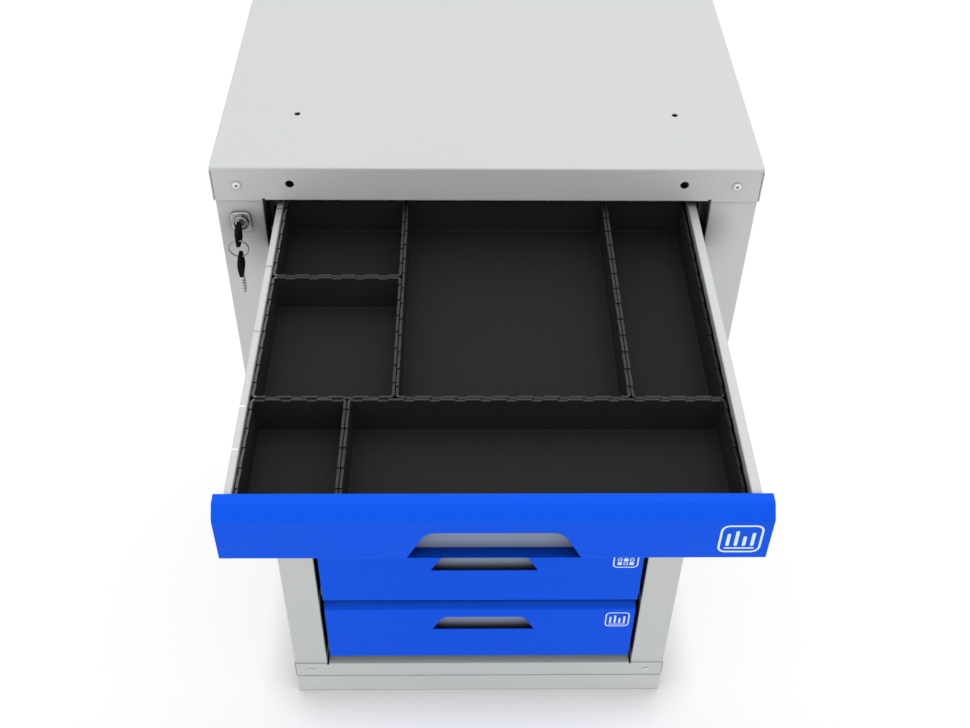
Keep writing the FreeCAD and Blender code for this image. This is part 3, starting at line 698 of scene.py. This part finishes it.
# Divider bins. Six moulded trays of black plastic stand in the top drawer on a 37 mm grid. Their walls lean
# in a little, their inside corners are rounded, and the rims are notched every 20 mm for labels and dividers.
BIN_CORNER, BIN_LEAN, BIN_RIM, BIN_DRAFT, BIN_FLOOR, BIN_FILLET, BIN_FOOT = 4.0, 0.6, 2.1, 0.7, 4.2, 1.4, 2.2
NOTCH_DROP, NOTCH_PITCH, NOTCH_WIDE, NOTCH_MARGIN = 1.2, 20.0, 8.0, 12


def moulded(name, colour, specular):
    return finish(name, colour, 0.5, 0.03, 0.12, 0.0006, 0.00003, 0.5, specular=specular, power=0)


bin_black = moulded("bin_plastic", (0.022, 0.022, 0.0215, 1), 0.05)
# Lighter copies of the black for the rim tops: painted light
rim_top_painted_light = moulded("bin_rim_top_painted_light", (0.05, 0.05, 0.049, 1), 0.1)
left_rim_painted_light = moulded("bin_left_rim_painted_light", (0.165, 0.165, 0.163, 1), 0.1)


def bin_shell(x0, x1, y0, y1, z0, z1):
    bm = bmesh.new()
    body = block(bm, x0, x1, y0, y1, z0, z1)
    round_off(bm, edges_of(body, lambda a, b: abs(a.z - b.z) > 0.01), BIN_CORNER, 6)
    top = max(bm.faces, key=lambda f: f.calc_center_median().z)
    bottom = min(bm.faces, key=lambda f: f.calc_center_median().z)
    middle = top.calc_center_median()
    for v in bottom.verts:
        v.co.x -= math.copysign(BIN_LEAN / 1000, v.co.x - middle.x)
        v.co.y -= math.copysign(BIN_LEAN / 1000, v.co.y - middle.y)
    bmesh.ops.inset_region(bm, faces=[top], thickness=BIN_RIM / 1000, use_even_offset=True)
    bmesh.ops.inset_region(bm, faces=[top], thickness=BIN_DRAFT / 1000, depth=-(z1 - z0 - BIN_FLOOR) / 1000,
                           use_even_offset=True)
    round_off(bm, list(top.edges), BIN_FILLET, 4)
    bmesh.ops.inset_region(bm, faces=[bottom], thickness=BIN_RIM / 1000, use_even_offset=True)
    bmesh.ops.inset_region(bm, faces=[bottom], thickness=0.0001, depth=-BIN_FOOT / 1000, use_even_offset=True)
    bmesh.ops.recalc_face_normals(bm, faces=bm.faces[:])
    return bm


def notch_places(low, high):
    count = int((high - low - NOTCH_MARGIN) // NOTCH_PITCH)
    start = (low + high - NOTCH_PITCH * count) / 2
    return [start + NOTCH_PITCH * n for n in range(count + 1)]


def rim_notches(x0, x1, y0, y1, top):
    bm = bmesh.new()
    half, reach = NOTCH_WIDE / 2, 3.2
    for x in notch_places(x0, x1):
        for y in (y0, y1):
            block(bm, x - half, x + half, y - reach, y + reach, top - NOTCH_DROP, top + 2)
    for y in notch_places(y0, y1):
        for x in (x0, x1):
            block(bm, x - reach, x + reach, y - half, y + half, top - NOTCH_DROP, top + 2)
    return bm


# The bins on the left reach a little further out. The rims' top faces are painted lighter than the bins as
# painted light, most of all along the left wall, but not along the right one.
lit_left_x, unlit_right_x, further = -183, 181.5, 1.3
for name in [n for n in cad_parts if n.startswith("bin_")]:
    (x0, x1), (y0, y1), (z0, z1) = span(name)
    if x0 < lit_left_x:
        x0 -= further
    tray_bin = as_object(name + "_moulding", bin_shell(x0, x1, y0, y1, z0, z1))
    punch(tray_bin, rim_notches(x0, x1, y0, y1, z1))
    fit(tray_bin, "drawer_1", [name], bin_black, ease=0.3)
    tray_bin.data.materials.append(rim_top_painted_light)
    tray_bin.data.materials.append(left_rim_painted_light)
    # Painted light: the rim tops take the lighter rim colours, the lightest along the left wall
    for face in tray_bin.data.polygons:
        face_x, face_z = face.center.x * 1000, face.center.z * 1000
        if face.normal.z > 0.7 and face_z > z1 - 2 and face_x < unlit_right_x:
            face.material_index = 2 if face_x < lit_left_x else 1


# Lock. A cast and nickel-plated housing with a rounded plate and a collar, held from behind by a hexagon nut.
# The plug turns in it with the key, and its cam moves the locking bar behind the post.
nickel = finish("satin_nickel", (0.5, 0.505, 0.495, 1), 0.38, 0.01, 0.1, 0.0009, 0.00002, 0.2, metal=1.0,
                reach=0.004, power=0.6)
# A darker copy of the nickel for the collar's right flank: painted shade and painted dark reflection
nickel_painted_shade = finish("collar_side_painted_shade", (0.2, 0.2, 0.2, 1), 0.3, 0.01, 0.1, 0.0009, 0.00002, 0.2, metal=1.0,
                     reach=0.004)


def turned(profile):
    # A lathe shape round the lock's axis: pairs of radius and depth
    bm = bmesh.new()
    line = chain(bm, [(r / 1000, depth / 1000, 0) for r, depth in profile])
    bmesh.ops.spin(bm, geom=line, axis=(0, 1, 0), cent=(0, 0, 0), steps=48, angle=2 * math.pi, use_merge=True)
    bmesh.ops.remove_doubles(bm, verts=bm.verts[:], dist=1e-6)
    bmesh.ops.recalc_face_normals(bm, faces=bm.faces[:])
    return bm


def to_lock(bm):
    bmesh.ops.translate(bm, vec=at(LOCK_X, 0, LOCK_Z), verts=bm.verts[:])
    return bm


def drawn_out(share, half):
    # A place on a circle of radius 1 moved outwards, so that the circle becomes a barrel-sided plate
    return math.copysign(half / 1000 * abs(share) ** 0.45, share)


plate_half_wide, plate_half_high, plate_back, plate_thick = 9.25, 10.75, 1.2, 3
housing = bmesh.new()
for v in bmesh.ops.create_circle(housing, cap_ends=True, segments=72, radius=1)["verts"]:
    v.co = Vector((drawn_out(v.co.x, plate_half_wide), plate_back / 1000, drawn_out(v.co.y, plate_half_high)))
grown = bmesh.ops.extrude_face_region(housing, geom=housing.faces[:])
bmesh.ops.translate(housing, vec=(0, -plate_thick / 1000, 0), verts=moved_verts(grown))
bmesh.ops.recalc_face_normals(housing, faces=housing.faces[:])
face_rim = [e for e in housing.edges if all(v.co.y < -0.0017 for v in e.verts)]
round_off(housing, face_rim, 1.1, 4)
housing_piece = as_object("lock_housing_cast", to_lock(housing))
bores = bmesh.new()
rod(bores, 8.0, at(LOCK_X, -8, LOCK_Z), Vector((0, 0.03, 0)), 48)
rod(bores, 0.6, at(LOCK_X - 6.2, -4, LOCK_Z + 7.6), Vector((0, 0.003, 0)), 16)
punch(housing_piece, bores)
collar = to_lock(turned([
    (6.2, 18), (6.2, -4.4), (6.5, -4.8), (6.9, -4.8), (7.3, -4.4), (8.0, -1.6), (8.0, 18), (6.2, 18),
]))
collar.from_mesh(housing_piece.data)
collar.to_mesh(housing_piece.data)
collar.free()
fit(housing_piece, "cabinet", ["lock_housing"], nickel)
housing_piece.data.materials.append(nickel_painted_shade)
for face in housing_piece.data.polygons:
    # Painted shade and painted dark reflection: the right flank of the collar takes the darker copy of the
    # nickel
    depth = face.center.y * 1000 + DEEP / 2
    off_axis = (face.center - at(LOCK_X, depth, LOCK_Z)).length * 1000
    on_flank = 7.2 < off_axis < 8.0 and depth < -2.2
    face.material_index = int(on_flank and face.center.x * 1000 > LOCK_X + 0.5)

plug_piece = as_object("lock_plug_turned", to_lock(turned([
    (0, -3.6), (5.5, -3.6), (6.0, -3.1), (6.0, 19), (3, 19), (3, 21), (0, 21),
])))
keyway = bmesh.new()
loose_block(keyway, -1.1, 1.1, -6, 16, -3.9, 3.9)
punch(plug_piece, to_lock(keyway))
# The plug is a lighter steel than the housing: painted light on its face deep inside the collar
plug_painted_light_steel = finish("plug_face_painted_light", (0.6, 0.6, 0.6, 1), 0.36, 0.01, 0.2, 0.0009, 0.00002, 0.2, metal=1.0,
                    reach=0.005, power=1.6)
fit(plug_piece, "lock_plug", ["lock_plug"], plug_painted_light_steel)

zinc_steel = metal("zinc_plated_steel", (0.3, 0.3, 0.305, 1), 0.45, 700.0, 40.0, 0.2)
dress(["lock_nut", "lock_cam", "lock_bar", "lock_bar_guides"], zinc_steel)


# Keys. Two flat keys with domed black plastic heads: one in the lock, the spare hanging from it on a split
# ring of spring wire.
head_black = finish("key_head_plastic", (0.009, 0.009, 0.0085, 1), 0.6, 0.01, 0.1, 0.0008, 0.00002, 0.3,
                    specular=0.03)
key_steel = metal("key_steel", (0.62, 0.61, 0.58, 1), 0.3, 900.0, 60.0, 0.15)


def key_head():
    # A lens with cut ends, 23 long and 16 wide: thin at the ends, thickest in the middle
    half_long, half_wide, thin, rise = 11.5, 8, 1.25, 2.35
    bm = bmesh.new()
    bmesh.ops.create_cube(bm, size=2)
    bmesh.ops.subdivide_edges(bm, edges=bm.edges[:], cuts=9, use_grid_fill=True)
    for v in bm.verts:
        along, across, through = v.co.y, v.co.z, v.co.x
        half = half_wide - max(0.0, half_long * abs(along) - 9)
        dome = (1 - abs(along) ** 1.25) * (1 - 0.6 * across * across)
        v.co = Vector(((thin + rise * dome) * through, half_long * along, half * across)) / 1000
    return bm


def key_blade():
    # From the head's centre towards +Y, with a clipped tip
    bm = bmesh.new()
    flat = loose_block(bm, -1, 1, 2, 32.5, -3.8, 3.8)
    tip = edges_of(flat, lambda a, b: min(a.y, b.y) > 0.03 and abs(a.x - b.x) > 0.0015)
    round_off(bm, tip, 2.4, 2)
    return bm


def bitting():
    # The stepped cuts in one edge of the blade, and the groove milled along its side
    bm = bmesh.new()
    for step, depth in enumerate((1.6, 2.4, 1.1, 2.0, 1.4)):
        y = 15.2 + 3.3 * step
        loose_block(bm, -2, 2, y, y + 1.9, -5, depth - 3.8)
    loose_block(bm, 0.55, 2, 12.5, 33, 0.4, 1.4)
    return bm


def make_key(label, body, nodes, turn, place):
    head = as_object(label + "_head_moulding", key_head())
    hole = bmesh.new()
    rod(hole, 2.5, Vector((-0.01, -0.008, 0)), Vector((0.02, 0, 0)), 24)
    punch(head, hole)
    blade = as_object(label + "_blade_flat", key_blade())
    punch(blade, bitting())
    move = Matrix.Translation(place) @ Matrix.Rotation(math.radians(turn), 4, "X")
    for piece, node_name, slot, material in (
        (head, nodes[0], "key_plastic", head_black), (blade, nodes[1], "key_steel", key_steel),
    ):
        piece.data.transform(move)
        fit(piece, body, [node_name], material, ease=0.25)


key_y, ring_y, ring_z, spare_z = -19.9, -27.9, 801.3, 783.1
make_key("key", "key", ["key_head", "key_blade"], 0, at(LOCK_X, key_y, LOCK_Z))
make_key("spare_key", "spare_key", ["spare_key_head", "spare_key_blade"], -90, at(LOCK_X, ring_y, spare_z))

wire_radius, ring_radius, ring_pitch, ring_turns, ring_steps = 0.5, 9, 1.15, 2, 96
ring_bm = bmesh.new()
wire = bmesh.ops.create_circle(ring_bm, cap_ends=True, segments=10, radius=wire_radius / 1000)["verts"]
bmesh.ops.translate(ring_bm, vec=(ring_radius / 1000, 0, 0), verts=wire)
bmesh.ops.spin(ring_bm, geom=ring_bm.verts[:] + ring_bm.edges[:] + ring_bm.faces[:], axis=(0, 1, 0),
               cent=(0, 0, 0), dvec=(0, ring_pitch / 1000 / ring_steps, 0), steps=ring_steps,
               angle=2 * math.pi * ring_turns)
bmesh.ops.recalc_face_normals(ring_bm, faces=ring_bm.faces[:])
bmesh.ops.translate(ring_bm, vec=at(LOCK_X, ring_y - 0.6, ring_z), verts=ring_bm.verts[:])
ring = as_object("split_ring", ring_bm)
spring_steel = finish("ring_wire", (0.3, 0.3, 0.3, 1), 0.35, 0.01, 0.1, 0.001, 0.00001, 0.1, metal=1.0,
                      power=0)
fit(ring, "key_ring", ["key_ring"], spring_steel)


# Studio. A white floor, an even white surround and one wide soft lamp overhead, and the camera where the
# photograph was taken from.
floor_bm = bmesh.new()
bmesh.ops.create_grid(floor_bm, x_segments=1, y_segments=1, size=15)
floor = as_object("studio_floor", floor_bm)
floor_white = finish("floor_white", (0.93, 0.93, 0.93, 1), 0.9, 2.0, 0.0, 0.01, 0.00001, 0.1, specular=0.1,
                     reach=0.06, power=1.0)
floor.data.materials.append(floor_white)
floor_tree = floor_white.node_tree
floor_shader = floor_tree.nodes["Principled BSDF"]
floor_shader.inputs["Emission Color"].default_value = (1, 1, 1, 1)
to_camera = floor_tree.nodes.new("ShaderNodeLightPath").outputs["Is Camera Ray"]


def for_camera(plain, seen, socket):
    # Plain is what the floor has where it lights the object, and seen is what it has for the camera
    choice = floor_tree.nodes.new("ShaderNodeMapRange")
    choice.inputs["To Min"].default_value = plain
    choice.inputs["To Max"].default_value = seen
    floor_tree.links.new(to_camera, choice.inputs["Value"])
    floor_tree.links.new(choice.outputs["Result"], socket)


floor_groups = {n.node_tree.name: n.inputs for n in floor_tree.nodes if n.type == "GROUP"}
for_camera(0.0, 0.42, floor_shader.inputs["Emission Strength"])
for_camera(0.93, 0.61, floor_groups["tone_drift"]["Color"])
# Painted shadow: for the camera alone, corner shade darkens the floor round the cabinet's foot
for_camera(0.0, 1.6, floor_groups["corner_shade"]["Power"])

world = bpy.data.worlds.new("surround")
bpy.context.scene.world = world
world.use_nodes = True
air = world.node_tree
background = air.nodes["Background"]
background.inputs["Color"].default_value = (1, 1, 1, 1)
paths = air.nodes.new("ShaderNodeLightPath").outputs
seen = maths(air, "MAXIMUM", paths["Is Camera Ray"], paths["Is Glossy Ray"])
strength = air.nodes.new("ShaderNodeMapRange")
strength.inputs["To Min"].default_value = 0.93
strength.inputs["To Max"].default_value = 1.0
air.links.new(maths(air, "MAXIMUM", seen, paths["Is Transmission Ray"]), strength.inputs["Value"])
air.links.new(strength.outputs["Result"], background.inputs["Strength"])

lamp_data = bpy.data.lights.new("overhead_softbox", "AREA")
lamp_data.shape = "RECTANGLE"
lamp_data.size = 2.4
lamp_data.size_y = 2.4
lamp_data.energy = 15.5
lamp = bpy.data.objects.new("overhead_softbox", lamp_data)
lamp.location = (0.2, 0.1, 3.2)
bpy.context.scene.collection.objects.link(lamp)

camera_data = bpy.data.cameras.new("camera")
camera_data.lens = 45.014
camera_data.sensor_width = 36
camera_data.clip_end = 60
camera = bpy.data.objects.new("camera", camera_data)
# The camera's lens, place and angles are solved from the cabinet's straight edges in the photograph
camera_place = at(-22.22, -905.18, 1495.87)
yaw, pitch, roll = (math.radians(a) for a in (1.43421542, 43.77017213, 1.01653475))
ahead = Vector((math.sin(yaw) * math.cos(pitch), math.cos(yaw) * math.cos(pitch), -math.sin(pitch)))
level = Vector((math.cos(yaw), -math.sin(yaw), 0))
above = level.cross(ahead)
right = math.cos(roll) * level + math.sin(roll) * above
above = -math.sin(roll) * level + math.cos(roll) * above
facing = Matrix((right, above, -ahead)).transposed().to_4x4()
camera.matrix_world = Matrix.Translation(camera_place) @ facing
bpy.context.scene.collection.objects.link(camera)
bpy.context.scene.camera = camera
bpy.context.scene.view_settings.view_transform = "Standard"
